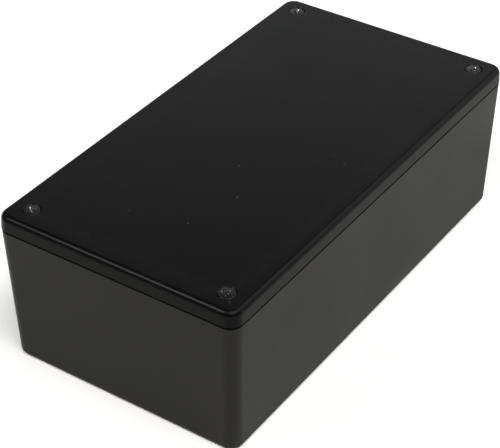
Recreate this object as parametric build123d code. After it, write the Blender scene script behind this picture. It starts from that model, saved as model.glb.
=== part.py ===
from build123d import *
import math
import os

# Moulded plastic project box: a deep drafted base, a shallow tray lid that laps over it,
# four countersunk screws and four brass bushes pressed into the corner bosses.
# Frame: origin at the centre of the foot, X along the length, Y along the width, Z up. Millimetres.

# Overall form, measured over the lid
LENGTH = 150.0
WIDTH = 81.0
HEIGHT = 50.0
CORNER_R = 4.0  # upright corners
DRAFT_INSET = 1.35  # lean of each side of the base, from the rim in to the foot
FOOT_EDGE_R = 1.5  # soft edge round the foot
CROWN_R = 1.8  # soft edge round the top of the lid
SEAM_BEVEL = 0.2  # broken edges of both mouldings at the seam
SHARPEST_R = 0.3  # smallest inside corner that the mould has

# Thicknesses
WALL = 2.5
FLOOR = 2.4
FLOOR_BEVEL = 1.0  # between floor and walls, inside
LID_PLATE = 2.2
LID_BEVEL = 0.5  # between plate and skirt, inside

# Seam and lap joint
LID_SKIRT = 4.8  # height of the lid's side
SEAM_GAP = 0.4  # open line between skirt and rim
LID_OVERHANG = 0.1  # how far the skirt stands out past the rim
LID_DRAFT_INSET = 0.1  # lean of the lid's side, from the seam in to the top
LIP = 1.2  # outer lip of the skirt, outside the tongue
LAP_GAP = 0.2  # tongue to lip, on each side
TONGUE_H = 2.0  # tongue above the rim
TONGUE_TOP_GAP = 0.2
TONGUE_LEAD = 0.35

# Corner bosses and the lid's pads that sit on them
BOSS_R = 3.9
BOSS_TO_WALL = 0.9
SEAT_DROP = 4.0  # from the lid's top to the faces where pad and boss meet
WEB_T = 1.8
WEB_DROP = 2.5  # top of the webs, below the seat
WEB_LEAD = 0.1  # broken edge inside the boss
BOSS_HOLE_DEPTH = 15.0  # runs on below the bush, to clear the screw's point

# Brass bushes
BUSH_D = 4.8
BUSH_BORE_D = 3.1
BUSH_LENGTH = 6.0

# Lid screws
SCREW_D = 3.0
SCREW_LENGTH = 12.0  # from the head's rim to the point
HEAD_D = 4.9
HEAD_RIM = 0.08
HEAD_CROWN = 0.28
COUNTERSINK_D = 5.7  # opening in the lid, 90 degree cone
LID_HOLE_D = 3.4
SEAT_CLEARANCE = 0.02  # head cone to countersink
RECESS_SPAN = 2.9
RECESS_SLOT = 0.8
RECESS_WELL_D = 1.2
RECESS_DEPTH = 1.5
RECESS_TAPER = 9.0  # degrees
RECESS_TURNS = {(-1, -1): 5.0, (-1, 1): 60.0, (1, -1): -8.0, (1, 1): 8.0}  # as each came to rest

# Card guides on the four inner walls
GUIDE_T = 1.2
CARD_SLOT = 1.8
GUIDE_REACH = 1.5  # from the wall, at the floor
GUIDE_PITCH = 14.0
GUIDE_DROP = 4.0  # top of the guides, below the rim
GUIDE_LEAD = 1.0
GUIDE_END_GAP = 2.0  # last guide to boss

# Board posts on the floor
POST_D = 6.0
POST_H = 5.0
POST_HOLE_D = 2.5
POST_HOLE_FLOOR = 0.6  # plastic left under the hole, above the floor
POST_FLARE = 0.6
POST_SPACING_X = 110.0
POST_SPACING_Y = 50.0

# Dimple under the foot that keeps the moulding gate's stub off the table
GATE_D = 5.0
GATE_DEPTH = 0.4

# Heights and insets worked out from the above
SEAM_Z = HEIGHT - LID_SKIRT
RIM_Z = SEAM_Z - SEAM_GAP
TONGUE_Z = RIM_Z + TONGUE_H
REBATE_Z = TONGUE_Z + TONGUE_TOP_GAP
PLATE_Z = HEIGHT - LID_PLATE
SEAT_Z = HEIGHT - SEAT_DROP
DRAFT = math.degrees(math.atan2(DRAFT_INSET, RIM_Z))
LID_DRAFT = math.degrees(math.atan2(LID_DRAFT_INSET, LID_SKIRT))
RIM_INSET = LID_OVERHANG + WALL
TONGUE_INSET = LIP + LAP_GAP
SCREW_INSET = RIM_INSET + BOSS_TO_WALL + BOSS_R
SCREW_X = LENGTH / 2 - SCREW_INSET
SCREW_Y = WIDTH / 2 - SCREW_INSET
HEAD_SEAT_Z = HEIGHT - (COUNTERSINK_D - HEAD_D) / 2
POST_TOP_Z = FLOOR + POST_H

STANDING = (Align.CENTER, Align.CENTER, Align.MIN)


def corners():
    return [(sx, sy) for sx in (-1, 1) for sy in (-1, 1)]


def at_corner(solid, sx, sy):
    return Pos(sx * SCREW_X, sy * SCREW_Y) * solid


def side_inset(z):
    """How far the base's drafted side lies inside the lid's outline at a height."""
    return LID_OVERHANG + DRAFT_INSET * (1 - z / RIM_Z)


def moulded_block(inset, radius, wide_z, narrow_z, angle=0.0):
    """Block with rounded upright corners, set in from the lid's outline, drafted from its wide end."""
    plan = Pos(0, 0, wide_z) * Rectangle(LENGTH - 2 * inset, WIDTH - 2 * inset)
    block = extrude(plan, narrow_z - wide_z)
    if angle:
        sides = block.faces().filter_by(Axis.Z, reverse=True)
        block = draft(sides, Plane.XY.offset(wide_z), math.copysign(angle, narrow_z - wide_z))
    low, high = sorted((wide_z, narrow_z))
    upright = block.edges().filter_by_position(Axis.Z, low, high, inclusive=(False, False))
    return fillet(upright, max(radius, SHARPEST_R))


def lowest_edges(solid):
    return solid.edges().group_by(Axis.Z)[0]


def highest_edges(solid):
    return solid.edges().group_by(Axis.Z)[-1]


def column(diameter, z_low, z_high):
    """Round column between two heights: a boss, a pad, or a hole to take out of one."""
    return Pos(0, 0, z_low) * Cylinder(diameter / 2, z_high - z_low, align=STANDING)


# Base moulding


def base_form():
    """Drafted outside of the base, with its soft foot edge and broken rim."""
    form = moulded_block(LID_OVERHANG, CORNER_R, RIM_Z, 0, DRAFT)
    form = chamfer(highest_edges(form), SEAM_BEVEL)
    return fillet(lowest_edges(form), FOOT_EDGE_R)


def tongue():
    """Inner half of the wall, carried up above the rim to enter the lid."""
    form = moulded_block(TONGUE_INSET, CORNER_R - TONGUE_INSET, RIM_Z - WALL, TONGUE_Z)
    return chamfer(highest_edges(form), TONGUE_LEAD)


def base_cavity():
    """Space inside the walls, drafted like them, bevelled round the floor."""
    space = moulded_block(side_inset(TONGUE_Z) + WALL, CORNER_R - WALL, TONGUE_Z, FLOOR, DRAFT)
    return chamfer(lowest_edges(space), FLOOR_BEVEL)


def wall_rib(half_size, near, top, lead, thickness):
    """Upright rib in the XZ plane, from a plane at x = near out into the middle of the end wall."""
    foot = FLOOR / 2
    outer_foot = half_size - side_inset(foot) - WALL / 2
    outer_top = half_size - side_inset(top) - WALL / 2
    inner_side = [(near, foot), (near, top - lead), (near + lead, top)]
    outer_side = [(outer_top, top), (outer_foot, foot)]
    profile = Polyline(*inner_side, *outer_side, close=True)
    return extrude(Plane.XZ * make_face(profile), thickness / 2, both=True)


def corner_features():
    """The four bosses, each tied to its two walls by a web."""
    top = SEAT_Z - WEB_DROP
    long_web = wall_rib(LENGTH / 2, SCREW_X, top, WEB_LEAD, WEB_T)
    short_web = wall_rib(WIDTH / 2, SCREW_Y, top, WEB_LEAD, WEB_T)
    pieces = []
    for sx, sy in corners():
        pieces.append(at_corner(column(2 * BOSS_R, FLOOR / 2, SEAT_Z), sx, sy))
        pieces.append(Pos(0, sy * SCREW_Y) * Rot(0, 0, 0 if sx > 0 else 180) * long_web)
        pieces.append(Pos(sx * SCREW_X, 0) * Rot(0, 0, 90 * sy) * short_web)
    return pieces


def guide_places(half_size):
    """Places of the card slots along a wall, centred between its two bosses."""
    reach = half_size - SCREW_INSET - BOSS_R - GUIDE_END_GAP - CARD_SLOT / 2 - GUIDE_T
    each_side = max(0, math.floor(reach / GUIDE_PITCH))
    return [n * GUIDE_PITCH for n in range(-each_side, each_side + 1)]


def guide_pair(half_size):
    """Two ribs with a card slot between them, on the wall at +X."""
    near = half_size - side_inset(FLOOR) - WALL - GUIDE_REACH
    rib = wall_rib(half_size, near, RIM_Z - GUIDE_DROP, GUIDE_LEAD, GUIDE_T)
    shift = (CARD_SLOT + GUIDE_T) / 2
    return [Pos(0, shift) * rib, Pos(0, -shift) * rib]


def card_guides():
    pieces = []
    for y in guide_places(WIDTH / 2):
        for rib in guide_pair(LENGTH / 2):
            pieces += [Rot(0, 0, turn) * Pos(0, y) * rib for turn in (0, 180)]
    for x in guide_places(LENGTH / 2):
        for rib in guide_pair(WIDTH / 2):
            pieces += [Rot(0, 0, turn) * Pos(0, x) * rib for turn in (90, 270)]
    return pieces


def board_post():
    """Post for a circuit board, flared where it meets the floor, with a blind pilot hole."""
    radius = POST_D / 2
    spread = radius + POST_FLARE
    foot = FLOOR / 2
    flare = [(0, foot), (spread, foot), (spread, FLOOR), (radius, FLOOR + POST_FLARE)]
    profile = Polyline(*flare, (radius, POST_TOP_Z), (0, POST_TOP_Z), close=True)
    return revolve(Plane.XZ * make_face(profile), Axis.Z)


def post_places():
    return [(sx * POST_SPACING_X / 2, sy * POST_SPACING_Y / 2) for sx, sy in corners()]


def base():
    body = base_form() + tongue() - base_cavity()
    body += corner_features() + card_guides()
    body += [Pos(x, y) * board_post() for x, y in post_places()]
    pilot = column(POST_HOLE_D, FLOOR + POST_HOLE_FLOOR, POST_TOP_Z)
    bush_hole = column(BUSH_D, SEAT_Z - BOSS_HOLE_DEPTH, SEAT_Z)
    cuts = [Pos(x, y) * pilot for x, y in post_places()]
    cuts += [at_corner(bush_hole, sx, sy) for sx, sy in corners()]
    cuts.append(column(GATE_D, 0, GATE_DEPTH))
    return body - cuts


# Lid moulding


def lid_form():
    """Outside of the lid: a shallow tray, upside down, with a crowned top edge."""
    form = moulded_block(0, CORNER_R, SEAM_Z, HEIGHT, LID_DRAFT)
    form = chamfer(lowest_edges(form), SEAM_BEVEL)
    return fillet(highest_edges(form), CROWN_R)


def lid_hollow():
    """Inside of the tray, and the rebate that takes the base's tongue."""
    low = SEAM_Z - WALL
    inside = moulded_block(RIM_INSET, CORNER_R - RIM_INSET, low, PLATE_Z)
    rebate = moulded_block(LIP, CORNER_R - LIP, low, REBATE_Z)
    return chamfer(highest_edges(inside), LID_BEVEL) + rebate


def screw_hole():
    """Clearance hole through pad and plate, with its countersink."""
    sink = (COUNTERSINK_D - LID_HOLE_D) / 2
    cone = Cone(LID_HOLE_D / 2, COUNTERSINK_D / 2, sink, align=STANDING)
    return Pos(0, 0, HEIGHT - sink) * cone + column(LID_HOLE_D, SEAT_Z, HEIGHT)


def lid():
    body = lid_form() - lid_hollow()
    pad = column(2 * BOSS_R, SEAT_Z, HEIGHT - LID_PLATE / 2)
    body += [at_corner(pad, sx, sy) for sx, sy in corners()]
    return body - [at_corner(screw_hole(), sx, sy) for sx, sy in corners()]


# Fasteners


def cross_recess(top):
    """Tapered cross recess with a round well where the wings meet, open above the head."""
    plan = Rectangle(RECESS_SPAN, RECESS_SLOT) + Rectangle(RECESS_SLOT, RECESS_SPAN)
    plan = Pos(0, 0, top) * (plan + Circle(RECESS_WELL_D / 2))
    return extrude(plan, -RECESS_DEPTH, taper=RECESS_TAPER) + extrude(plan, HEAD_CROWN)


def crown_arc(radius, rise, low):
    """Low domed line from the rim of a head in to its axis."""
    sphere = (radius**2 + rise**2) / (2 * rise)
    middle = radius / 2
    middle_z = low + rise - sphere + math.sqrt(sphere**2 - middle**2)
    return ThreePointArc((radius, low), (middle, middle_z), (0, low + rise))


def screw():
    """Countersunk screw with a raised crown on its head, its cone seated in the lid."""
    radius = SCREW_D / 2
    head = HEAD_D / 2
    seat = HEAD_SEAT_Z + SEAT_CLEARANCE
    neck = seat - (head - radius)
    rim = seat + HEAD_RIM
    tip = rim - SCREW_LENGTH
    side = Polyline((0, tip), (radius, tip), (radius, neck), (head, seat), (head, rim))
    axis = Line((0, rim + HEAD_CROWN), (0, tip))
    profile = make_face(side + crown_arc(head, HEAD_CROWN, rim) + axis)
    return revolve(Plane.XZ * profile, Axis.Z) - cross_recess(rim + HEAD_CROWN)


def bush_form():
    return column(BUSH_D, SEAT_Z - BUSH_LENGTH, SEAT_Z)


def bush():
    return bush_form() - column(BUSH_BORE_D, SEAT_Z - BUSH_LENGTH, SEAT_Z)


def lid_screws():
    return [at_corner(Rot(0, 0, RECESS_TURNS[place]) * screw(), *place) for place in corners()]


def threaded_inserts():
    return [at_corner(bush(), *place) for place in corners()]


def main():
    os.makedirs("parts", exist_ok=True)
    nodes = {
        "base": [base()],
        "lid": [lid()],
        "lid_screws": lid_screws(),
        "threaded_inserts": threaded_inserts(),
    }
    for name, pieces in nodes.items():
        solids = [solid for piece in pieces for solid in piece.solids()]
        shape = solids[0] if len(solids) == 1 else Compound(children=solids)
        export_step(shape, f"parts/{name}.step")


main()
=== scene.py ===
"""Plastic project box: mouldings, screws, brass bushes, finishes and studio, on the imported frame."""

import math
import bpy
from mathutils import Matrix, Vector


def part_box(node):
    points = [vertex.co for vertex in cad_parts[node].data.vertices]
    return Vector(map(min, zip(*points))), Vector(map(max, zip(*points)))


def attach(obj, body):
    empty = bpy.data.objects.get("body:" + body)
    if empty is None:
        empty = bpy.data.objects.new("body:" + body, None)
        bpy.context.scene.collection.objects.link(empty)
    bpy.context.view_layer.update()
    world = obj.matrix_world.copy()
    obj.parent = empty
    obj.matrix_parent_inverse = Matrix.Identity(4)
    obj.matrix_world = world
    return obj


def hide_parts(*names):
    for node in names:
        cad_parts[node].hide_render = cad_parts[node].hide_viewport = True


bl_info = {
    "name": "Plastic Project Box",
    "version": (1, 0, 0),
    "blender": (4, 5, 0),
    "location": "3D View > Sidebar > Project Box",
    "description": "Builds a black project box with a screwed lid around its packed frame",
    "category": "Object",
}

import bmesh
import bpy
from bpy.props import FloatProperty, FloatVectorProperty, PointerProperty
from mathutils import Matrix, Vector

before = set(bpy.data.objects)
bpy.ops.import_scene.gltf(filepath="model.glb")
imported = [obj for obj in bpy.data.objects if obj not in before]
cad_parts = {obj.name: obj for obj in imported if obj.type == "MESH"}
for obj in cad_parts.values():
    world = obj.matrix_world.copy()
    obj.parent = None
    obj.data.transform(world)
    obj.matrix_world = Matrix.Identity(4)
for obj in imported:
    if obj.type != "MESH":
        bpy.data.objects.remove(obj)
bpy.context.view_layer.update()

MM = 0.001
QUARTER = math.pi / 2
LID_LOW, LID_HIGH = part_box("lid")
BASE_LOW, BASE_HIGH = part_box("base")
SCREW_LOW, SCREW_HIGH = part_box("lid_screws")
BUSH_LOW, BUSH_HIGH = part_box("threaded_inserts")

CORNER_STEPS = 14  # facets round each upright corner
EDGE_STEPS = 4  # facets across a small rounded edge
ROUND_STEPS = 64  # facets round bosses, pads and screw holes
SHARP_ANGLE = math.radians(38)
SMALLEST_CORNER = 0.3 * MM
WELD = 0.0005 * MM  # points nearer than this are one


def length(name, description, millimetres):
    return FloatProperty(
        name=name, description=description, default=millimetres * MM, min=0, unit="LENGTH", precision=5
    )


def colour(name, description, value):
    return FloatVectorProperty(
        name=name, description=description, default=value, size=3, min=0, max=1, subtype="COLOR"
    )


def share(name, description, value):
    return FloatProperty(name=name, description=description, default=value, min=0, max=1, subtype="FACTOR")


class ProjectBoxMouldings(bpy.types.PropertyGroup):
    """Sizes of the base and the lid."""

    corner: length("Corner radius", "Upright corners of both mouldings", 4.0)
    foot_edge: length("Foot edge", "Soft edge round the foot", 1.5)
    crown: length("Crown", "Soft edge round the top of the lid", 1.8)
    edge: length("Broken edge", "Radius of the small outer edges", 0.1)
    root: length("Root fillet", "Radius where ribs and posts meet a wall", 0.3)
    wall: length("Wall", "Thickness of the base's walls", 2.5)
    floor: length("Floor", "Thickness of the base's floor", 2.4)
    floor_fillet: length("Floor fillet", "Radius between floor and walls, inside", 1.0)
    plate: length("Lid plate", "Thickness of the lid", 2.2)
    plate_fillet: length("Lid fillet", "Radius between plate and skirt, inside", 0.5)
    draft: length("Draft", "Lean of the base's sides from rim to foot", 1.35)
    lid_draft: length("Lid draft", "Lean of the lid's side from seam to top", 0.25)
    overhang: length("Overhang", "How far the lid stands out past the rim", 0.1)
    seam: length("Seam", "Open line between lid and base", 0.7)
    lip: length("Lip", "Outer lip of the lid's skirt", 1.2)
    lap: length("Lap gap", "Gap between the base's tongue and the lip", 0.2)
    tongue_lead: length("Tongue lead", "Rounded lead at the top of the tongue", 0.35)
    boss: length("Boss radius", "Corner bosses and the lid's pads", 3.9)
    web: length("Web", "Thickness of the webs from boss to wall", 1.8)
    web_drop: length("Web drop", "Top of the webs below the bosses", 2.5)
    hole_depth: length("Boss hole", "Depth of the hole in each boss", 15.0)


class ProjectBoxFittings(bpy.types.PropertyGroup):
    """Sizes of the card guides, board posts, bushes and screws."""

    guide: length("Guide rib", "Thickness of each card guide rib", 1.2)
    slot: length("Card slot", "Space between the ribs of a guide", 1.8)
    guide_reach: length("Guide reach", "How far a guide stands off the wall at the floor", 1.5)
    guide_pitch: length("Guide pitch", "Distance from slot to slot", 14.0)
    guide_drop: length("Guide drop", "Top of the guides below the rim", 4.0)
    guide_lead: length("Guide lead", "Sloped lead at the top of a guide", 1.0)
    guide_end: length("Guide end gap", "Last guide to boss", 2.0)
    post: length("Post radius", "Posts for a circuit board", 3.0)
    post_height: length("Post height", "Height of the posts above the floor", 5.0)
    post_hole: length("Post hole radius", "Pilot hole in each post", 1.25)
    post_hole_foot: length("Post hole foot", "Bottom of the pilot hole above the floor", 0.6)
    post_flare: length("Post flare", "Fillet round the foot of each post", 0.6)
    post_reach_x: length("Post place X", "Posts from the middle, along the box", 55.0)
    post_reach_y: length("Post place Y", "Posts from the middle, across the box", 25.0)
    gate: length("Gate dimple radius", "Dimple at the moulding gate under the foot", 2.5)
    gate_depth: length("Gate dimple depth", "Depth of the gate dimple", 0.4)
    pin: length("Ejector pin radius", "Round marks that the mould's pins leave", 2.6)
    pin_depth: length("Ejector pin depth", "Depth of the pin marks", 0.07)
    pin_reach_x: length("Ejector pin place X", "Pins from the middle, along the box", 28.0)
    pin_reach_y: length("Ejector pin place Y", "Pins from the middle, across the box", 18.0)
    bush: length("Bush radius", "Brass bushes, outside", 2.36)
    bush_fit: length("Bush fit", "Gap between each bush and its boss", 0.04)
    bush_bore: length("Bush bore radius", "Inner crest of the bush's thread", 1.56)
    bush_bevel: length("Bush bevel", "Broken ends of the bushes", 0.2)
    knurl_depth: length("Knurl depth", "Depth of the knurl round the bushes", 0.07)
    knurl_end: length("Knurl end", "Plain band at each end of a bush", 1.0)
    pitch: length("Thread pitch", "Pitch of the screws and bushes", 0.5)
    thread: length("Thread depth", "Depth of the thread", 0.26)
    shank: length("Shank radius", "Outer crest of the screw's thread", 1.48)
    neck: length("Neck", "Plain shank under the screw's head", 0.6)
    point: length("Point", "Tapered start of the screw's thread", 0.35)
    head: length("Head radius", "Screw head", 2.45)
    head_rim: length("Head rim", "Height of the head's upright rim", 0.24)
    head_edge: length("Head edge", "Rounding at the top of the rim", 0.11)
    head_crown: length("Head crown", "Rise of the head's dome", 0.12)
    countersink: length("Countersink radius", "Opening of the countersink in the lid", 2.85)
    clearance: length("Clearance hole radius", "Screw hole through lid and pad", 1.7)
    recess_span: length("Recess span", "Half the span of the cross recess", 1.5)
    recess_slot: length("Recess slot", "Half the width of the cross recess", 0.38)
    recess_depth: length("Recess depth", "Depth of the cross recess", 1.5)


class ProjectBoxFinish(bpy.types.PropertyGroup):
    """Colours and surface finish."""

    base_colour: colour("Base colour", "Plastic of the base", (0.0082, 0.0078, 0.0068))
    lid_colour: colour("Lid colour", "Plastic of the lid", (0.0018, 0.0018, 0.0017))
    rubbed_colour: colour("Rubbed colour", "Plastic where edges are rubbed", (0.03, 0.03, 0.029))
    dust_colour: colour("Dust colour", "Dust and lint", (0.075, 0.072, 0.07))
    screw_colour: colour("Screw colour", "Blackened screw", (0.042, 0.042, 0.04))
    steel_colour: colour("Bare steel colour", "Steel bared in the cross recess", (0.42, 0.41, 0.4))
    brass_colour: colour("Brass colour", "Bushes", (0.78, 0.57, 0.27))
    floor_colour: colour("Floor colour", "Studio floor", (0.89, 0.883, 0.86))
    base_gloss: share("Base gloss", "Strength of the base's reflections", 0.125)
    base_roughness: share("Base roughness", "How far the base blurs its reflections", 0.46)
    lid_gloss: share("Lid gloss", "Strength of the lid's reflections", 0.07)
    lid_roughness: share("Lid roughness", "How far the lid blurs its reflections", 0.32)
    grain: length("Grain", "Size of the moulded texture's grain", 0.26)
    grain_depth: length("Grain depth", "Height of the moulded texture", 0.008)


class ProjectBox(bpy.types.PropertyGroup):
    """Everything that the panel shows."""

    mouldings: PointerProperty(type=ProjectBoxMouldings)
    fittings: PointerProperty(type=ProjectBoxFittings)
    finish: PointerProperty(type=ProjectBoxFinish)


# Places taken from the frame

HALF = Vector((LID_HIGH.x, LID_HIGH.y))  # half length and half width over the lid
TOP = LID_HIGH.z
SEAM = LID_LOW.z
TONGUE_TOP = BASE_HIGH.z
SEAT = BUSH_HIGH.z  # where the lid's pads meet the bosses
REBATE_GAP = 0.2 * MM
RECESS_TURNS = {(-1, -1): 5, (-1, 1): 60, (1, -1): -8, (1, 1): 8}  # degrees, as each screw came to rest
CORNERS = tuple(RECESS_TURNS)


def screw_centre(sx, sy, sizes):
    return Vector((sx * (SCREW_HIGH.x - sizes.head), sy * (SCREW_HIGH.y - sizes.head)))


# Profiles and skins


def softened(points):
    """Profile with each inner corner rounded by its own radius; a point is (offset, height, radius)."""
    line = []
    for n, (offset, height, radius) in enumerate(points):
        here = Vector((offset, height))
        if not radius or n in (0, len(points) - 1):
            line.append(here)
            continue
        back = (Vector(points[n - 1][:2]) - here).normalized()
        onward = (Vector(points[n + 1][:2]) - here).normalized()
        half = back.angle(onward) / 2
        centre = here + (back + onward).normalized() * (radius / math.sin(half))
        reach = radius / math.tan(half)
        start = (here + back * reach - centre).normalized()
        end = (here + onward * reach - centre).normalized()
        fineness = EDGE_STEPS * (2 if radius > MM else 1)
        steps = max(2, round(fineness * (math.pi - 2 * half) / QUARTER))
        line += [centre + radius * start.slerp(end, step / steps) for step in range(steps + 1)]
    return line


def rounded_rectangle(inset, radius, z):
    """Outline set in from the lid's, anticlockwise, as its corner arcs."""
    radius = max(radius, SMALLEST_CORNER)
    reach = HALF - Vector((inset + radius, inset + radius))
    ring = []
    for quarter, (sx, sy) in enumerate(((1, 1), (-1, 1), (-1, -1), (1, -1))):
        for step in range(CORNER_STEPS + 1):
            angle = (quarter + step / CORNER_STEPS) * QUARTER
            x = sx * reach.x + radius * math.cos(angle)
            y = sy * reach.y + radius * math.sin(angle)
            ring.append(Vector((x, y, z)))
    return ring


def circle(centre, radius, z, steps):
    """Ring about an upright axis; the radius may be a function of the angle and the height."""
    if radius == 0:
        return [Vector((centre.x, centre.y, z))]
    ring = []
    for step in range(steps):
        angle = step / steps * math.tau
        reach = radius(angle, z) if callable(radius) else radius
        ring.append(Vector((centre.x + reach * math.cos(angle), centre.y + reach * math.sin(angle), z)))
    return ring


def skin(bm, rings):
    """Closed surface through rings; a ring of one point draws it to a tip."""
    rows = [[bm.verts.new(point) for point in ring] for ring in rings]
    for low, high in zip(rows, rows[1:]):
        count = max(len(low), len(high))
        for n in range(count):
            m = (n + 1) % count
            corners = (low[n % len(low)], low[m % len(low)], high[m % len(high)], high[n % len(high)])
            bm.faces.new(tuple(dict.fromkeys(corners)))
    for row, order in ((rows[0], -1), (rows[-1], 1)):
        if len(row) > 2:
            bm.faces.new(row[::order])


def turned(bm, centre, points, steps=48):
    """Closed turned form from a profile of (radius, height, rounding) about an upright axis."""
    skin(bm, [circle(centre, radius, z, steps) for radius, z in softened(points)])


# Objects


def new_object(name, build):
    """Object from a function that fills a mesh."""
    bm = bmesh.new()
    build(bm)
    mesh = bpy.data.meshes.new(name)
    bm.to_mesh(mesh)
    bm.free()
    piece = bpy.data.objects.new(name, mesh)
    bpy.context.scene.collection.objects.link(piece)
    return piece


def combine(piece, tool, operation):
    """Joins a tool's form to a piece or cuts it out, then drops the tool."""
    boolean = piece.modifiers.new("combine", "BOOLEAN")
    boolean.object = tool
    boolean.operation = operation
    boolean.solver = "MANIFOLD"
    evaluated = piece.evaluated_get(bpy.context.evaluated_depsgraph_get())
    mesh = bpy.data.meshes.new_from_object(evaluated)
    piece.modifiers.clear()
    before = piece.data
    piece.data = mesh
    bpy.data.meshes.remove(before)
    tool_mesh = tool.data
    bpy.data.objects.remove(tool)
    bpy.data.meshes.remove(tool_mesh)


def smooth(piece):
    """Smooth shading between crisp edges, with flat faces kept flat."""
    bm = bmesh.new()
    bm.from_mesh(piece.data)
    bmesh.ops.remove_doubles(bm, verts=bm.verts, dist=WELD)
    for face in bm.faces:
        face.smooth = True
    for edge in bm.edges:
        edge.smooth = len(edge.link_faces) == 2 and edge.calc_face_angle() < SHARP_ANGLE
    bm.to_mesh(piece.data)
    bm.free()
    weighted = piece.modifiers.new("flat faces", "WEIGHTED_NORMAL")
    weighted.keep_sharp = True


def dress(piece, body, node, slot, *materials):
    """Shades a piece, gives it its materials and stands it for its node."""
    smooth(piece)
    for index, material in enumerate(materials):
        if index < len(piece.data.materials):
            piece.data.materials[index] = material
        else:
            piece.data.materials.append(material)
    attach(piece, body)
    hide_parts(node)


# Shader nodes


def put(tree, kind, inputs=None, **settings):
    """Adds a node; an input takes a value or another node's socket."""
    node = tree.nodes.new(kind)
    for name, value in settings.items():
        setattr(node, name, value)
    for name, value in (inputs or {}).items():
        if isinstance(value, bpy.types.NodeSocket):
            tree.links.new(value, node.inputs[name])
        else:
            node.inputs[name].default_value = value
    return node


def math_node(tree, operation, *values):
    return put(tree, "ShaderNodeMath", dict(enumerate(values)), operation=operation).outputs[0]


def product(tree, *factors):
    value = factors[0]
    for factor in factors[1:]:
        value = math_node(tree, "MULTIPLY", value, factor)
    return value


def ramp(tree, value, low, high, to_low=0.0, to_high=1.0):
    """Maps a range of a value to another, clamped."""
    return put(
        tree,
        "ShaderNodeMapRange",
        {"Value": value, "From Min": low, "From Max": high, "To Min": to_low, "To Max": to_high},
    ).outputs["Result"]


def blend(tree, factor, first, second):
    """Colour mix; the inputs are named by their order because a mix node repeats its names."""
    node = put(tree, "ShaderNodeMix", data_type="RGBA")
    sockets = {"factor": node.inputs[0], "first": node.inputs[6], "second": node.inputs[7]}
    for name, value in (("factor", factor), ("first", first), ("second", second)):
        if isinstance(value, bpy.types.NodeSocket):
            tree.links.new(value, sockets[name])
        else:
            sockets[name].default_value = value
    return node.outputs[2]


def node_group(name, inputs, outputs, build):
    """Shader node group with float inputs and outputs, made once."""
    group = bpy.data.node_groups.get(name)
    if group:
        return group
    group = bpy.data.node_groups.new(name, "ShaderNodeTree")
    for label, value in inputs.items():
        socket = group.interface.new_socket(label, in_out="INPUT", socket_type="NodeSocketFloat")
        socket.default_value = value
    for label in outputs:
        group.interface.new_socket(label, in_out="OUTPUT", socket_type="NodeSocketFloat")
    entry = put(group, "NodeGroupInput")
    made = build(group, entry.outputs)
    put(group, "NodeGroupOutput", dict(zip(outputs, made)))
    return group


def grouped(tree, group, **values):
    """Places a node group in a material with its own values."""
    node = put(tree, "ShaderNodeGroup", node_tree=group)
    for name, value in values.items():
        node.inputs[name].default_value = value
    return node.outputs


def place(tree):
    return put(tree, "ShaderNodeTexCoord").outputs["Object"]


def noise(tree, scale, detail=2.0, roughness=0.5):
    inputs = {"Vector": place(tree), "Scale": scale, "Detail": detail, "Roughness": roughness}
    return put(tree, "ShaderNodeTexNoise", inputs).outputs["Fac"]


def per_grain(tree, size):
    """Texture scale whose features are as large as a size in metres."""
    return math_node(tree, "DIVIDE", 1.0, size)


def grain_group():
    """Spark-eroded mould texture: overlapping round pits with a finer tooth, and a mask of the pit bottoms
    that paints shade into the pits.
    """

    def build(tree, inputs):
        scale = per_grain(tree, inputs["Grain"])
        pits = put(
            tree,
            "ShaderNodeTexVoronoi",
            {"Vector": place(tree), "Scale": scale, "Smoothness": 0.7},
            feature="SMOOTH_F1",
        ).outputs["Distance"]
        tooth = noise(tree, product(tree, scale, 2.3), 3.0, 0.6)
        height = math_node(tree, "ADD", product(tree, pits, 0.6), product(tree, tooth, 0.5))
        # second output: mask of the pit bottoms, which darkens the colour there as painted shade
        return height, ramp(tree, pits, 0.2, 0.7)

    return node_group("Spark-eroded grain", {"Grain": 0.26 * MM}, ("Height", "Pit shade"), build)


def rubbing_group():
    """Outer edges rubbed by handling, broken up by noise."""

    def build(tree, inputs):
        pointed = put(tree, "ShaderNodeNewGeometry").outputs["Pointiness"]
        edges = ramp(tree, pointed, 0.53, 0.62)
        patches = ramp(tree, noise(tree, per_grain(tree, inputs["Patch"]), 4.0, 0.65), 0.42, 0.62)
        return (product(tree, edges, patches, inputs["Amount"]),)

    return node_group("Rubbed edges", {"Patch": 2.5 * MM, "Amount": 0.5}, ("Mask",), build)


def dust_group():
    """Sparse specks of dust, mostly on faces that look up."""

    def build(tree, inputs):
        cells = put(
            tree,
            "ShaderNodeTexVoronoi",
            {"Vector": place(tree), "Scale": per_grain(tree, inputs["Spacing"]), "Randomness": 1.0},
        )
        chosen = put(tree, "ShaderNodeSeparateColor", {"Color": cells.outputs["Color"]}).outputs
        radius = ramp(tree, chosen["Green"], 0.0, 1.0, 0.03, 0.11)
        speck = math_node(tree, "LESS_THAN", cells.outputs["Distance"], radius)
        bare = math_node(tree, "SUBTRACT", 1.0, inputs["Share"])
        some = math_node(tree, "GREATER_THAN", chosen["Red"], bare)
        normal = put(tree, "ShaderNodeNewGeometry").outputs["Normal"]
        slope = put(tree, "ShaderNodeSeparateXYZ", {"Vector": normal}).outputs["Z"]
        upward = ramp(tree, slope, -0.2, 0.9, 0.25, 1.0)
        faint = ramp(tree, chosen["Blue"], 0.0, 1.0, 0.1, 1.0)
        return (product(tree, speck, some, upward, faint),)

    return node_group("Dust specks", {"Spacing": 2.2 * MM, "Share": 0.3}, ("Mask",), build)


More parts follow.
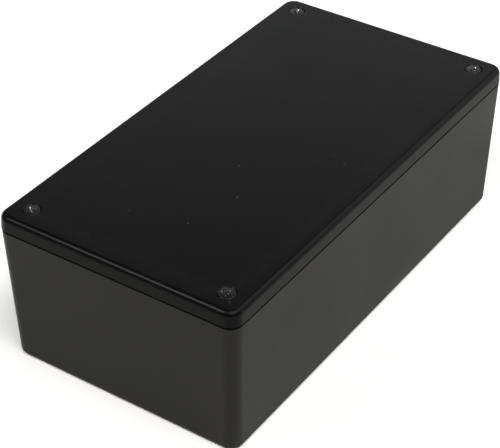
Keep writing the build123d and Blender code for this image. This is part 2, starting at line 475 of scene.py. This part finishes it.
def sheen_group():
    """Slow changes of gloss that cooling leaves on a moulded face."""

    def build(tree, inputs):
        scale = per_grain(tree, inputs["Patch"])
        broad = noise(tree, scale, 3.0, 0.55)
        drawn = put(tree, "ShaderNodeMapping", {"Vector": place(tree), "Scale": (0.35, 1.6, 1.0)})
        streaks = put(
            tree,
            "ShaderNodeTexNoise",
            {"Vector": drawn.outputs[0], "Scale": product(tree, scale, 1.7), "Detail": 2.0},
        ).outputs["Fac"]
        mixed = math_node(tree, "ADD", product(tree, broad, 0.6), product(tree, streaks, 0.4))
        return (ramp(tree, mixed, 0.3, 0.7),)

    return node_group("Moulding sheen", {"Patch": 22 * MM}, ("Sheen",), build)


def new_material(name):
    material = bpy.data.materials.new(name)
    material.use_nodes = True
    return material, material.node_tree, material.node_tree.nodes["Principled BSDF"]


def rgba(value, shade=1.0):
    """Colour with its alpha, darkened by a shade below 1."""
    return (*(shade * channel for channel in value), 1.0)


def surface(tree, shader, body, roughness, height, depth, strength):
    """Joins a finish's colour, roughness and bump to its shader."""
    bump = put(tree, "ShaderNodeBump", {"Height": height, "Distance": depth, "Strength": strength})
    tree.links.new(body, shader.inputs["Base Color"])
    tree.links.new(roughness, shader.inputs["Roughness"])
    tree.links.new(bump.outputs["Normal"], shader.inputs["Normal"])


def plastic(name, tint, finish, gloss, roughness):
    """Black moulded plastic with a spark-eroded grain, its colour darkened at the pit bottoms as painted
    shade.
    """
    material, tree, shader = new_material(name)
    grain = grouped(tree, grain_group(), Grain=finish.grain)
    rubbed = grouped(tree, rubbing_group(), Patch=2.5 * MM, Amount=0.45)["Mask"]
    dust = grouped(tree, dust_group(), Spacing=2.2 * MM, Share=0.07)["Mask"]
    sheen = grouped(tree, sheen_group(), Patch=22 * MM)["Sheen"]
    # colour 14 per cent darker at the bottom of each pit: painted shade in the hollows of the grain
    body = blend(tree, grain["Pit shade"], rgba(tint, 0.86), rgba(tint))
    body = blend(tree, rubbed, body, rgba(finish.rubbed_colour))
    body = blend(tree, dust, body, rgba(finish.dust_colour))
    spread = ramp(tree, sheen, 0.0, 1.0, roughness - 0.03, roughness + 0.03)
    surface(tree, shader, body, spread, grain["Height"], finish.grain_depth, 0.8)
    shader.inputs["Specular IOR Level"].default_value = gloss
    return material


def blackened_steel(finish):
    """Black finish on the screws, worn at the edges."""
    material, tree, shader = new_material("blackened steel")
    rubbed = grouped(tree, rubbing_group(), Patch=0.5 * MM, Amount=0.9)["Mask"]
    mottle = noise(tree, 1 / (0.35 * MM), 4.0, 0.6)
    patches = ramp(tree, mottle, 0.35, 0.65)
    body = blend(tree, patches, rgba(finish.screw_colour, 0.6), rgba(finish.screw_colour))
    body = blend(tree, rubbed, body, rgba(finish.steel_colour))
    surface(tree, shader, body, ramp(tree, mottle, 0.3, 0.7, 0.28, 0.42), mottle, 0.004 * MM, 0.6)
    shader.inputs["Metallic"].default_value = 1.0
    return material


def bared_steel(finish):
    """Recess walls where the driver has bared the steel in streaks."""
    material, tree, shader = new_material("bared steel")
    streaks = noise(tree, 1 / (0.18 * MM), 3.0, 0.6)
    bared = ramp(tree, streaks, 0.42, 0.62)
    body = blend(tree, bared, rgba(finish.screw_colour), rgba(finish.steel_colour))
    surface(tree, shader, body, ramp(tree, streaks, 0.3, 0.7, 0.2, 0.34), streaks, 0.006 * MM, 0.5)
    shader.inputs["Metallic"].default_value = 1.0
    return material


def brass(finish):
    """Turned brass with fine tool lines and a little tarnish."""
    material, tree, shader = new_material("turned brass")
    lines = put(
        tree,
        "ShaderNodeTexWave",
        {"Vector": place(tree), "Scale": 1 / (0.9 * MM), "Distortion": 0.6, "Detail": 2.0},
        bands_direction="Z",
    ).outputs["Fac"]
    tarnish = noise(tree, 1 / (1.1 * MM), 4.0, 0.6)
    dulled = ramp(tree, tarnish, 0.4, 0.7)
    body = blend(tree, dulled, rgba(finish.brass_colour), rgba(finish.brass_colour, 0.55))
    surface(tree, shader, body, ramp(tree, tarnish, 0.3, 0.7, 0.24, 0.42), lines, 0.004 * MM, 0.5)
    shader.inputs["Metallic"].default_value = 1.0
    return material


def studio_paper(finish):
    """Pale paper floor with a faint tooth."""
    material, tree, shader = new_material("studio paper")
    tooth = noise(tree, 1 / (6 * MM), 3.0)
    body = blend(tree, tooth, rgba(finish.floor_colour, 0.985), rgba(finish.floor_colour))
    tree.links.new(body, shader.inputs["Base Color"])
    tree.links.new(ramp(tree, tooth, 0.0, 1.0, 0.88, 0.96), shader.inputs["Roughness"])
    shader.inputs["Specular IOR Level"].default_value = 0.1
    return material


# Base moulding


def lean(z, sizes):
    """How far the base's drafted side lies inside the lid's outline at a height."""
    return sizes.overhang + sizes.draft * (1 - z / (SEAM - sizes.seam))


def drafted_ring(inset, z, sizes):
    return rounded_rectangle(inset, sizes.corner - (inset - lean(z, sizes)), z)


def base_shell(bm, sizes):
    """Foot, drafted sides, rim, tongue, inner walls and floor as one skin."""
    rim = SEAM - sizes.seam
    tongue = sizes.lip + sizes.lap
    inner_top = lean(TONGUE_TOP, sizes) + sizes.wall
    inner_foot = lean(sizes.floor, sizes) + sizes.wall
    middle = 4 * sizes.wall
    profile = softened(
        [
            (middle, 0, 0),
            (lean(0, sizes), 0, sizes.foot_edge),
            (lean(rim, sizes), rim, sizes.edge),
            (tongue, rim, sizes.edge / 2),
            (tongue, TONGUE_TOP, sizes.tongue_lead),
            (inner_top, TONGUE_TOP, sizes.edge),
            (inner_foot, sizes.floor, sizes.floor_fillet),
            (middle, sizes.floor, 0),
        ]
    )
    skin(bm, [drafted_ring(inset, z, sizes) for inset, z in profile])


def rib(bm, wall, along, near, top, thickness, lead, sizes):
    """Upright rib off an inner wall, flared into wall and floor; walls count anticlockwise from +X."""
    half_size = HALF.x if wall % 2 == 0 else HALF.y
    turn = Matrix.Rotation(wall * QUARTER, 3, "Z")
    root, edge = sizes.root, sizes.edge
    arcs = [QUARTER * step / EDGE_STEPS for step in range(EDGE_STEPS + 1)]

    def outline(z, grow, cut_back):
        face = half_size - lean(z, sizes) - sizes.wall
        reach = face - near + grow - cut_back
        half = thickness / 2 + grow
        side = [(-sizes.wall / 2, half + root)]
        side += [(root - root * math.sin(a), half + root - root * math.cos(a)) for a in reversed(arcs)]
        side += [(reach - edge + edge * math.sin(a), half - edge + edge * math.cos(a)) for a in arcs]
        loop = side + [(depth, -across) for depth, across in reversed(side)]
        return [turn @ Vector((face - depth, along + across, z)) for depth, across in loop]

    floor = sizes.floor
    rings = [outline(floor / 2, root, 0)]
    rings += [outline(floor + root * (1 - math.cos(a)), root * (1 - math.sin(a)), 0) for a in arcs]
    if lead > edge:
        rings.append(outline(top - lead, 0, 0))
    rings += [outline(top - edge, 0, max(0, lead - edge)), outline(top, -edge, lead)]
    skin(bm, rings)


def post_profile(radius, flare, top, hole, hole_floor, sizes):
    """Hollow post or boss from inside the floor up, with a blind hole."""
    return [
        (0, sizes.floor / 2, 0),
        (radius + flare, sizes.floor / 2, 0),
        (radius + flare, sizes.floor, 0),
        *[
            (radius + flare * (1 - math.sin(a)), sizes.floor + flare * (1 - math.cos(a)), 0)
            for a in (QUARTER * step / EDGE_STEPS for step in range(1, EDGE_STEPS + 1))
        ],
        (radius, top, sizes.edge),
        (hole, top, sizes.edge),
        (hole, hole_floor, 0),
        (0, hole_floor - hole / 4, 0),
    ]


def slot_places(centre, sizes, fittings):
    """Places of the card slots along a wall, centred between two bosses."""
    reach = centre - sizes.boss - fittings.guide_end - fittings.slot / 2 - fittings.guide
    each_side = math.floor(reach / fittings.guide_pitch)
    return [n * fittings.guide_pitch for n in range(-each_side, each_side + 1)]


def boss_hole(fittings):
    return fittings.bush + fittings.bush_fit


def base_posts(bm, sizes, fittings):
    """Corner bosses and board posts, each with its blind hole."""
    boss_foot = SEAT - sizes.hole_depth
    boss = post_profile(sizes.boss, sizes.root, SEAT, boss_hole(fittings), boss_foot, sizes)
    top = sizes.floor + fittings.post_height
    foot = sizes.floor + fittings.post_hole_foot
    post = post_profile(fittings.post, fittings.post_flare, top, fittings.post_hole, foot, sizes)
    for sx, sy in CORNERS:
        turned(bm, screw_centre(sx, sy, fittings), boss, ROUND_STEPS)
        turned(bm, Vector((sx * fittings.post_reach_x, sy * fittings.post_reach_y)), post)


def base_ribs(bm, sizes, fittings):
    """Webs from the bosses to the walls, and the card guides between them."""
    in_boss = (boss_hole(fittings) + sizes.boss) / 2
    web_top = SEAT - sizes.web_drop
    for sx, sy in CORNERS:
        centre = screw_centre(sx, sy, fittings)
        end, side = (0 if sx > 0 else 2), (1 if sy > 0 else 3)
        rib(bm, end, centre.y * sx, abs(centre.x) + in_boss, web_top, sizes.web, 0, sizes)
        rib(bm, side, -centre.x * sy, abs(centre.y) + in_boss, web_top, sizes.web, 0, sizes)
    guide_top = SEAM - sizes.seam - fittings.guide_drop
    shift = (fittings.slot + fittings.guide) / 2
    centre = screw_centre(1, 1, fittings)
    for wall in range(4):
        half_size = HALF.x if wall % 2 == 0 else HALF.y
        near = half_size - lean(sizes.floor, sizes) - sizes.wall - fittings.guide_reach
        between = centre.y if wall % 2 == 0 else centre.x
        for slot in slot_places(between, sizes, fittings):
            for side in (-shift, shift):
                rib(bm, wall, slot + side, near, guide_top, fittings.guide, fittings.guide_lead, sizes)


def base_marks(bm, sizes, fittings):
    """Gate dimple under the foot and ejector-pin marks on the floor, as tools."""
    gate, depth, edge = fittings.gate, fittings.gate_depth, sizes.edge
    dimple = [
        (0, -MM, 0),
        (gate + edge, -MM, 0),
        (gate + edge, 0, 0),
        (gate, edge, 0),
        (gate, depth, edge),
        (0, depth, 0),
    ]
    turned(bm, Vector((0, 0)), dimple)
    low, high = sizes.floor - fittings.pin_depth, sizes.floor + MM
    mark = [(0, low, 0), (fittings.pin, low, 0), (fittings.pin, high, 0), (0, high, 0)]
    for x in (-fittings.pin_reach_x, fittings.pin_reach_x):
        for y in (-fittings.pin_reach_y, fittings.pin_reach_y):
            turned(bm, Vector((x, y)), mark)


class PROJECTBOX_OT_base(bpy.types.Operator):
    """Build the base moulding with its bosses, card guides and board posts"""

    bl_idname = "project_box.base"
    bl_label = "Base Moulding"

    def execute(self, context):
        box = context.scene.project_box
        sizes, fittings = box.mouldings, box.fittings
        base = new_object("base_moulding", lambda bm: base_shell(bm, sizes))
        combine(base, new_object("posts", lambda bm: base_posts(bm, sizes, fittings)), "UNION")
        combine(base, new_object("ribs", lambda bm: base_ribs(bm, sizes, fittings)), "UNION")
        combine(base, new_object("marks", lambda bm: base_marks(bm, sizes, fittings)), "DIFFERENCE")
        finish = box.finish
        material = plastic(
            "black plastic, base", finish.base_colour, finish, finish.base_gloss, finish.base_roughness
        )
        dress(base, "base", "base", "base_moulding", material)
        return {"FINISHED"}


# Lid moulding


def lid_ring(inset, z, sizes):
    outer = sizes.lid_draft * (z - SEAM) / (TOP - SEAM)
    return rounded_rectangle(inset, sizes.corner - (inset - outer), z)


def lid_shell(bm, sizes):
    """Plate, inner skirt, rebate, lip, side and crown as one skin."""
    inner = sizes.overhang + sizes.wall
    plate = TOP - sizes.plate
    middle = 4 * sizes.wall
    profile = softened(
        [
            (middle, plate, 0),
            (inner, plate, sizes.plate_fillet),
            (inner, TONGUE_TOP + REBATE_GAP, sizes.edge / 2),
            (sizes.lip, TONGUE_TOP + REBATE_GAP, sizes.edge),
            (sizes.lip, SEAM, sizes.edge),
            (0, SEAM, sizes.edge),
            (sizes.lid_draft, TOP, sizes.crown),
            (middle, TOP, 0),
        ]
    )
    skin(bm, [lid_ring(inset, z, sizes) for inset, z in profile])


def lid_pads(bm, sizes, fittings):
    """Round pads under the plate that sit on the bosses."""
    plate = TOP - sizes.plate
    for sx, sy in CORNERS:
        profile = [
            (0, SEAT, 0),
            (sizes.boss, SEAT, sizes.edge),
            (sizes.boss, plate - sizes.root, 0),
            (sizes.boss + sizes.root, plate, 0),
            (sizes.boss + sizes.root, plate + sizes.plate / 2, 0),
            (0, plate + sizes.plate / 2, 0),
        ]
        turned(bm, screw_centre(sx, sy, fittings), profile, ROUND_STEPS)


def lid_holes(bm, sizes, fittings):
    """Screw holes with countersinks, as tools."""
    hole, sink, edge = fittings.clearance, fittings.countersink, sizes.edge
    for sx, sy in CORNERS:
        profile = [
            (0, SEAT - MM, 0),
            (hole + edge, SEAT - MM, 0),
            (hole + edge, SEAT, 0),
            (hole, SEAT + edge, 0),
            (hole, TOP - (sink - hole), 0),
            (sink + MM, TOP + MM, 0),
            (0, TOP + MM, 0),
        ]
        turned(bm, screw_centre(sx, sy, fittings), profile, ROUND_STEPS)


class PROJECTBOX_OT_lid(bpy.types.Operator):
    """Build the lid moulding with its pads and countersunk screw holes"""

    bl_idname = "project_box.lid"
    bl_label = "Lid Moulding"

    def execute(self, context):
        box = context.scene.project_box
        sizes, fittings = box.mouldings, box.fittings
        lid = new_object("lid_moulding", lambda bm: lid_shell(bm, sizes))
        combine(lid, new_object("pads", lambda bm: lid_pads(bm, sizes, fittings)), "UNION")
        combine(lid, new_object("holes", lambda bm: lid_holes(bm, sizes, fittings)), "DIFFERENCE")
        finish = box.finish
        material = plastic(
            "black plastic, lid", finish.lid_colour, finish, finish.lid_gloss, finish.lid_roughness
        )
        dress(lid, "lid", "lid", "lid_moulding", material)
        return {"FINISHED"}


# Screws and bushes


def thread_form(phase):
    """Height of a thread's section over one pitch: root, flank, crest, flank."""
    phase %= 1.0
    return min(1.0, max(0.0, 1.5 - abs(phase - 0.5) * 4))


def screw_form(bm, centre, fittings):
    """Threaded shank, conical head and domed crown, before its recess is cut."""
    tip, top = SCREW_LOW.z, SCREW_HIGH.z
    rim = top - fittings.head_crown - fittings.head_rim
    neck = rim - (fittings.head - fittings.shank)
    thread_end = neck - fittings.neck

    def shank(angle, z):
        runout = min(1.0, (thread_end - z) / fittings.pitch, (z - tip) / fittings.point)
        cut = 1 - thread_form(z / fittings.pitch - angle / math.tau)
        taper = max(0.0, fittings.point - (z - tip)) * 0.9
        return fittings.shank - taper - fittings.thread * cut * max(0.0, runout)

    steps, rows_per_turn = 40, 8
    rows = math.ceil((thread_end - tip) / fittings.pitch * rows_per_turn)
    rings = [circle(centre, 0, tip, steps)]
    rings += [circle(centre, shank, tip + (thread_end - tip) * n / rows, steps) for n in range(rows + 1)]
    sphere = (fittings.head**2 + fittings.head_crown**2) / (2 * fittings.head_crown)
    edge = fittings.head_edge

    def dome(radius):
        return top - sphere + math.sqrt(sphere**2 - radius**2)

    head = [(fittings.shank, neck), (fittings.head, rim)]
    for step in range(EDGE_STEPS + 1):
        angle = QUARTER * step / EDGE_STEPS
        radius = fittings.head - edge * (1 - math.cos(angle))
        head.append((radius, dome(fittings.head - edge) - edge * (1 - math.sin(angle))))
    for share in (0.85, 0.7, 0.5, 0.25):
        head.append((fittings.head * share, dome(fittings.head * share)))
    rings += [circle(centre, radius, z, steps) for radius, z in head]
    rings.append(circle(centre, 0, top, steps))
    skin(bm, rings)


def recess_ring(centre, turn, span, slot, z):
    """Cross outline with small flats at its inner and outer corners."""
    corner = 0.3 * slot
    ring = []
    for quarter in range(4):
        spin = Matrix.Rotation(turn + quarter * QUARTER, 2)
        arm = [(span - corner, -slot), (span, corner - slot), (span, slot - corner), (span - corner, slot)]
        arm += [(slot + corner, slot), (slot, slot + corner)]
        ring += [centre + spin @ Vector(point) for point in arm]
    return [Vector((point.x, point.y, z)) for point in ring]


def recess_form(bm, centre, turn, fittings):
    """Cross recess: wings that run in on a cone to a pointed well, with a broken edge at the head."""
    top = SCREW_HIGH.z
    span, slot, depth = fittings.recess_span, fittings.recess_slot, fittings.recess_depth
    levels = (
        (-depth, 0.32, 0.62),
        (-0.55 * depth, 0.72, 0.8),
        (-0.08 * MM, 1.0, 1.0),
        (0.0, 1.05, 1.12),
        (0.5 * MM, 1.05, 1.12),
    )
    well = Vector((centre.x, centre.y, top - depth - 0.25 * MM))
    rings = [[well]]
    for drop, across, wide in levels:
        rings.append(recess_ring(centre, turn, span * across, slot * wide, top + drop))
    skin(bm, rings)


class PROJECTBOX_OT_screws(bpy.types.Operator):
    """Build the four countersunk lid screws with their threads and cross recesses"""

    bl_idname = "project_box.screws"
    bl_label = "Lid Screws"

    def execute(self, context):
        box = context.scene.project_box
        fittings = box.fittings

        def screws(bm):
            for corner in CORNERS:
                screw_form(bm, screw_centre(*corner, fittings), fittings)

        def recesses(bm):
            for corner, turn in RECESS_TURNS.items():
                recess_form(bm, screw_centre(*corner, fittings), math.radians(turn), fittings)

        materials = (blackened_steel(box.finish), bared_steel(box.finish))
        piece = new_object("lid_screw_set", screws)
        tool = new_object("recesses", recesses)
        for mesh in (piece.data, tool.data):
            for material in materials:
                mesh.materials.append(material)
        for face in tool.data.polygons:
            face.material_index = 1
        combine(piece, tool, "DIFFERENCE")
        dress(piece, "lid", "lid_screws", "black_screw", *materials)
        return {"FINISHED"}


def bush_form(bm, centre, fittings):
    """Brass bush with a knurled outside, broken ends and a thread in its bore."""
    low, high = BUSH_LOW.z, BUSH_HIGH.z
    bevel, plain = fittings.bush_bevel, fittings.knurl_end
    ridges, steps, rows_per_turn = 36, 72, 6

    def knurl(angle, z):
        band = 1.0 if low + plain < z < high - plain else 0.0
        return fittings.bush - fittings.knurl_depth * band * (0.5 + 0.5 * math.cos(ridges * angle))

    def bore(angle, z):
        runout = max(0.0, min(1.0, (high - bevel - z) / bevel, (z - low - bevel) / bevel))
        cut = thread_form(z / fittings.pitch - angle / math.tau)
        return fittings.bush_bore + fittings.thread * runout * cut

    step = plain / 20  # half the height over which the knurl begins
    ends = [bevel, plain - step, plain + step]
    outside = [low + drop for drop in ends] + [high - drop for drop in reversed(ends)]
    mouth = fittings.bush_bore + bevel
    rings = [circle(centre, mouth, low, steps), circle(centre, fittings.bush - bevel, low, steps)]
    rings += [circle(centre, knurl, z, steps) for z in outside]
    rings += [circle(centre, fittings.bush - bevel, high, steps), circle(centre, mouth, high, steps)]
    tapped = high - low - 2 * bevel
    rows = math.ceil(tapped / fittings.pitch * rows_per_turn)
    rings += [circle(centre, bore, high - bevel - tapped * n / rows, steps) for n in range(rows + 1)]
    verts = [[bm.verts.new(point) for point in ring] for ring in rings]
    for row, after in zip(verts, verts[1:] + verts[:1]):
        for n in range(steps):
            m = (n + 1) % steps
            bm.faces.new((row[n], row[m], after[m], after[n]))


class PROJECTBOX_OT_bushes(bpy.types.Operator):
    """Build the four threaded brass bushes in the corner bosses"""

    bl_idname = "project_box.bushes"
    bl_label = "Brass Bushes"

    def execute(self, context):
        box = context.scene.project_box

        def bushes(bm):
            for corner in CORNERS:
                bush_form(bm, screw_centre(*corner, box.fittings), box.fittings)

        piece = new_object("brass_bush_set", bushes)
        dress(piece, "base", "threaded_inserts", "bush_brass", brass(box.finish))
        return {"FINISHED"}


# Studio

CAMERA_PLACE = Vector((-0.34557, -0.2316, 0.32391))
CAMERA_AZIMUTH = math.radians(-56.31)
CAMERA_ELEVATION = math.radians(35.66)
CAMERA_ROLL = math.radians(0.09)
CAMERA_LENS = 121.07  # millimetres, as is the sensor
CAMERA_SENSOR = 36
CAMERA_SHIFT = (-0.0388, -0.0433)
SOFT_BOXES = {  # position, size and power of each, all aimed at the box
    "left back": ((-0.63, 0.52, 0.92), (0.28, 0.28), 8.6),
    "front": ((-0.3, -0.5, 1.1), (0.9, 0.7), 13.2),
    "right": ((0.9, -0.4, 0.8), (0.9, 0.9), 4.6),
    "high right": ((0.5, -0.6, 1.2), (0.8, 0.8), 6.0),
    "far back": ((1.1, 0.7, 0.7), (0.9, 0.6), 2.2),
    "low right": ((0.9, -0.88, 0.34), (1.0, 0.5), 2.2),
}
COOL = (0.94, 0.96, 1.0)
WHITE = (1.0, 1.0, 1.0)
ROOM_LIGHT = (0.93, 0.96, 1.0)
ROOM_STRENGTH = 0.03
FLOOR_DROP = 0.05 * MM  # keeps the paper just clear of the foot


def facing(azimuth, elevation):
    """Unit vector from the box towards a viewer."""
    level = math.cos(elevation)
    return Vector((math.sin(azimuth) * level, -math.cos(azimuth) * level, math.sin(elevation)))


def soft_box(name, position, size, power, tint):
    lamp = bpy.data.lights.new(name, "AREA")
    lamp.shape = "RECTANGLE"
    lamp.size, lamp.size_y = size
    lamp.energy = power
    lamp.color = tint
    holder = bpy.data.objects.new(name, lamp)
    holder.location = position
    holder.rotation_euler = (-Vector(position)).to_track_quat("-Z", "Y").to_euler()
    bpy.context.scene.collection.objects.link(holder)


def studio_camera():
    camera = bpy.data.cameras.new("camera")
    camera.lens = CAMERA_LENS
    camera.sensor_width = CAMERA_SENSOR
    camera.shift_x, camera.shift_y = CAMERA_SHIFT
    camera.clip_start, camera.clip_end = 0.01, 20
    holder = bpy.data.objects.new("camera", camera)
    look = -facing(CAMERA_AZIMUTH, CAMERA_ELEVATION)
    turn = look.to_track_quat("-Z", "Y").to_matrix() @ Matrix.Rotation(CAMERA_ROLL, 3, "Z")
    holder.matrix_world = Matrix.Translation(CAMERA_PLACE) @ turn.to_4x4()
    bpy.context.scene.collection.objects.link(holder)
    bpy.context.scene.camera = holder


def studio_floor(finish):
    """Round paper sweep: flat under the box, rising gently far from it."""
    near, flat, reach, rise = 0.3, 1.6, 0.9, 0.88
    steps, round_steps, steepest = 10, 96, 0.8 * QUARTER
    profile = [(0.0, 0.0), (near, 0.0), (flat, 0.0)]
    for step in range(1, steps + 1):
        angle = steepest * step / steps
        profile.append((flat + reach * math.sin(angle), rise * (1 - math.cos(angle))))

    def build(bm):
        rings = [circle(Vector((0, 0)), radius, z - FLOOR_DROP, round_steps) for radius, z in profile]
        rows = [[bm.verts.new(point) for point in ring] for ring in rings]
        for low, high in zip(rows, rows[1:]):
            for n in range(len(high)):
                m = (n + 1) % len(high)
                corners = (low[n % len(low)], high[n], high[m], low[m % len(low)])
                face = bm.faces.new(tuple(dict.fromkeys(corners)))
                face.smooth = True

    floor = new_object("studio_floor", build)
    floor.data.materials.append(studio_paper(finish))


class PROJECTBOX_OT_studio(bpy.types.Operator):
    """Set up the pale floor, the soft lights and the camera"""

    bl_idname = "project_box.studio"
    bl_label = "Studio"

    def execute(self, context):
        scene = context.scene
        scene.view_settings.view_transform = "Standard"
        world = bpy.data.worlds.new("studio")
        world.use_nodes = True
        background = world.node_tree.nodes["Background"]
        background.inputs["Color"].default_value = rgba(ROOM_LIGHT)
        background.inputs["Strength"].default_value = ROOM_STRENGTH
        scene.world = world
        studio_floor(scene.project_box.finish)
        studio_camera()
        for name, (position, size, power) in SOFT_BOXES.items():
            soft_box(name, position, size, power, COOL if name == "far back" else WHITE)
        return {"FINISHED"}


class PROJECTBOX_PT_panel(bpy.types.Panel):
    bl_label = "Project Box"
    bl_idname = "PROJECTBOX_PT_panel"
    bl_space_type = "VIEW_3D"
    bl_region_type = "UI"
    bl_category = "Project Box"

    def draw(self, context):
        layout = self.layout
        box = context.scene.project_box
        for operator in OPERATORS:
            layout.operator(operator.bl_idname)
        for group in (box.mouldings, box.fittings, box.finish):
            column = layout.column(align=True)
            for name in group.__annotations__:
                column.prop(group, name)


OPERATORS = (
    PROJECTBOX_OT_base,
    PROJECTBOX_OT_lid,
    PROJECTBOX_OT_screws,
    PROJECTBOX_OT_bushes,
    PROJECTBOX_OT_studio,
)
CLASSES = (
    ProjectBoxMouldings,
    ProjectBoxFittings,
    ProjectBoxFinish,
    ProjectBox,
    *OPERATORS,
    PROJECTBOX_PT_panel,
)


def register():
    for cls in CLASSES:
        bpy.utils.register_class(cls)
    bpy.types.Scene.project_box = PointerProperty(type=ProjectBox)


def unregister():
    del bpy.types.Scene.project_box
    for cls in reversed(CLASSES):
        bpy.utils.unregister_class(cls)


def main():
    register()
    bpy.ops.project_box.base()
    bpy.ops.project_box.lid()
    bpy.ops.project_box.screws()
    bpy.ops.project_box.bushes()
    bpy.ops.project_box.studio()


if __name__ == "__main__":
    main()
